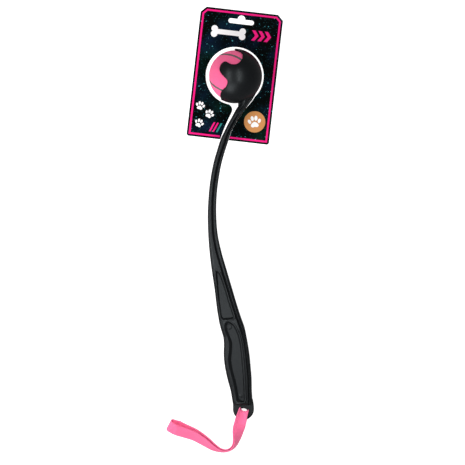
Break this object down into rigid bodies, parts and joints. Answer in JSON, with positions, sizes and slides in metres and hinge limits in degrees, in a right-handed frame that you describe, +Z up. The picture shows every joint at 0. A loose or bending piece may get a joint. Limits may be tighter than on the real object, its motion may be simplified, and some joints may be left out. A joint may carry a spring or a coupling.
{
  "type": "ball launcher",
  "caption": "Curved ball throwing stick with a gripping cup, a felt covered ball, a webbing wrist strap and a die-cut hanging board.",
  "frame": {"origin": "on the table, under the middle of the outline of the whole set as it lies", "axes": "+Z up from the table, +Y from the strap towards the cup, +X to the right when seen from above with the cup at the top"},
  "size_m": [0.1484, 0.5646, 0.0697],
  "materials": {
    "moulded_plastic": "satin moulded polypropylene",
    "ball_rubber": "matte",
    "pink_felt": "felt nap",
    "seam_rubber": "matte",
    "pink_webbing": "woven",
    "pink_thread": "stitched",
    "printed_board": "coated print"
  },
  "bodies": {
    "launcher": {"ball_cup": "moulded_plastic", "throwing_shaft": "moulded_plastic", "handle": "moulded_plastic"},
    "ball": {"ball_core_front": "ball_rubber", "ball_core_rear": "ball_rubber", "felt_panel_mouth_side": "pink_felt", "felt_panel_cup_side": "pink_felt", "ball_seam": "seam_rubber"},
    "strap": {"wrist_strap": "pink_webbing", "strap_bar_tack": "pink_thread"},
    "board": {"backing_board": "printed_board"}
  },
  "joints": [
    {"name": "ball_release", "type": "slide", "parent": "launcher", "child": "ball", "axis": [-0.9622, 0.2719, 0.0149], "range_m": [0, 0.08]},
    {"name": "strap_swing", "type": "hinge", "parent": "launcher", "child": "strap", "pos_m": [0.02407, -0.23221, 0.01127], "axis": [0, 0, 1], "range_deg": [-30, 30]},
    {"name": "board_lift", "type": "slide", "parent": "launcher", "child": "board", "axis": [0, 0, 1], "range_m": [0, 0.085]}
  ]
}
